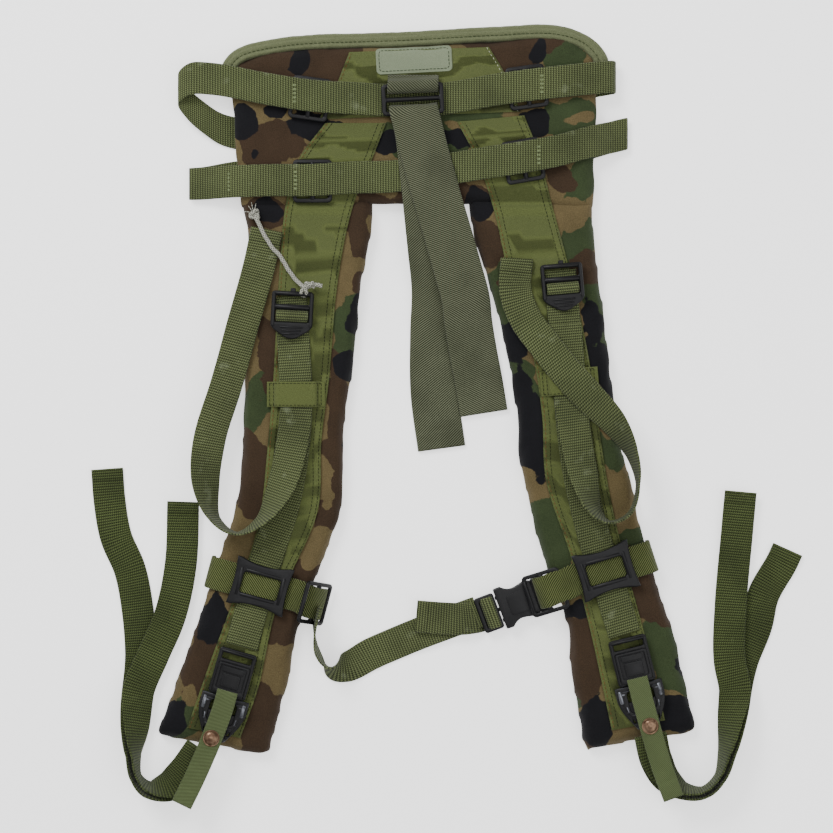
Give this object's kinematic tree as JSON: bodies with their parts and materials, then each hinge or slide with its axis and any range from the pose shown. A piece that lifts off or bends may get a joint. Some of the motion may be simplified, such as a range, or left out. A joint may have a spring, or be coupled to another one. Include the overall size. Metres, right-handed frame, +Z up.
{
  "type": "backpack shoulder harness",
  "caption": "Camouflage padded shoulder-strap yoke of a field pack, with cross straps, buckled sternum strap, quick-release buckles and loose webbing, laid flat.",
  "frame": {"origin": "on the floor it lies on, at the centre of the whole outline", "axes": "+X to the right seen from the front, +Y towards the top of the yoke, +Z up out of the front face"},
  "size_m": [0.5652, 0.6176, 0.0441],
  "materials": {
    "camouflage_cloth": "woven cotton blend printed in four-colour woodland camouflage",
    "olive_cloth": "plain olive pack cloth",
    "webbing": "ribbed olive narrow webbing",
    "dark_webbing": "dark green narrow webbing",
    "twill_strap": "grey-green herringbone twill strap",
    "label_cloth": "pale coated cloth patch",
    "black_plastic": "moulded black nylon, slightly glossy",
    "snap_metal": "dull coppery snap cap",
    "cord_braid": "grey braided cord"
  },
  "bodies": {
    "harness": {"yoke_pad": "camouflage_cloth", "yoke_binding": "olive_cloth", "centre_panel": "olive_cloth", "label_patch": "label_cloth", "left_pad": "camouflage_cloth", "right_pad": "camouflage_cloth", "left_facing": "olive_cloth", "right_facing": "olive_cloth", "upper_cross_strap": "webbing", "lower_cross_strap": "webbing", "upper_left_triglide": "black_plastic", "upper_right_triglide": "black_plastic", "lower_left_triglide": "black_plastic", "lower_right_triglide": "black_plastic", "centre_slide": "black_plastic", "anchor_loop": "olive_cloth", "centre_strap": "twill_strap", "left_load_webbing": "webbing", "right_load_webbing": "webbing", "left_keeper": "olive_cloth", "right_keeper": "olive_cloth", "left_loose_tail": "webbing", "right_loose_tail": "webbing", "pull_cord": "cord_braid", "left_triglide": "black_plastic", "right_triglide": "black_plastic", "sternum_webbing": "webbing", "buckle_socket": "black_plastic", "buckle_socket_bar": "black_plastic", "left_release_frame": "black_plastic", "right_release_frame": "black_plastic"},
    "left_lock": {"left_ladder_lock": "black_plastic", "left_lock_wrap": "webbing"},
    "right_lock": {"right_ladder_lock": "black_plastic", "right_lock_wrap": "webbing"},
    "left_latch": {"left_release_latch": "black_plastic", "left_pull_tape": "twill_strap", "left_snap_cap": "snap_metal"},
    "right_latch": {"right_release_latch": "black_plastic", "right_pull_tape": "twill_strap", "right_snap_cap": "snap_metal"},
    "left_lower": {"left_release_body": "black_plastic", "left_outer_leg": "dark_webbing", "left_inner_leg": "dark_webbing"},
    "right_lower": {"right_release_body": "black_plastic", "right_outer_leg": "dark_webbing", "right_inner_leg": "dark_webbing"},
    "left_slider": {"left_sternum_slider": "black_plastic", "left_sternum_band": "webbing", "left_sternum_lead": "webbing"},
    "right_slider": {"right_sternum_slider": "black_plastic", "right_sternum_band": "webbing", "right_sternum_lead": "webbing"},
    "plug": {"buckle_plug": "black_plastic", "plug_webbing": "webbing", "plug_tail": "webbing"},
    "upper_prong": {"upper_prong": "black_plastic"},
    "lower_prong": {"lower_prong": "black_plastic"}
  },
  "joints": [
    {"name": "left_lock_tilt", "type": "hinge", "parent": "harness", "child": "left_lock", "pos_m": [-0.1211, 0.09575, 0.01955], "axis": [-0.9986, 0.0523, 0], "range_deg": [0, 50]},
    {"name": "right_lock_tilt", "type": "hinge", "parent": "harness", "child": "right_lock", "pos_m": [0.08963, 0.11771, 0.01955], "axis": [-0.9962, -0.0872, 0], "range_deg": [0, 50]},
    {"name": "left_latch_lift", "type": "hinge", "parent": "harness", "child": "left_latch", "pos_m": [-0.16634, -0.19562, 0.02185], "axis": [-0.9613, 0.2756, 0], "range_deg": [0, 60]},
    {"name": "left_release_pull", "type": "slide", "parent": "harness", "child": "left_lower", "axis": [-0.2756, -0.9613, 0], "range_m": [0, 0.04]},
    {"name": "right_latch_lift", "type": "hinge", "parent": "harness", "child": "right_latch", "pos_m": [0.14359, -0.18521, 0.02185], "axis": [-0.9703, -0.2419, 0], "range_deg": [0, 60]},
    {"name": "right_release_pull", "type": "slide", "parent": "harness", "child": "right_lower", "axis": [0.2419, -0.9703, 0], "range_m": [0, 0.04]},
    {"name": "left_slider_travel", "type": "slide", "parent": "harness", "child": "left_slider", "axis": [0.2588, 0.9659, 0], "range_m": [-0.015, 0.015]},
    {"name": "right_slider_travel", "type": "slide", "parent": "harness", "child": "right_slider", "axis": [-0.2924, 0.9563, 0], "range_m": [-0.015, 0.015]},
    {"name": "side_release_pull", "type": "slide", "parent": "harness", "child": "plug", "axis": [-0.9367, -0.3502, 0], "range_m": [0, 0.03]},
    {"name": "upper_prong_squeeze", "type": "hinge", "parent": "plug", "child": "upper_prong", "pos_m": [0.03809, -0.14531, 0.00525], "axis": [0, 0, -1], "range_deg": [0, 8]},
    {"name": "lower_prong_squeeze", "type": "hinge", "parent": "plug", "child": "lower_prong", "pos_m": [0.0446, -0.16273, 0.00525], "axis": [0, 0, 1], "range_deg": [0, 8]}
  ],
  "couplings": [
    {"joint": "lower_prong_squeeze", "follows": "upper_prong_squeeze", "ratio": 1}
  ]
}
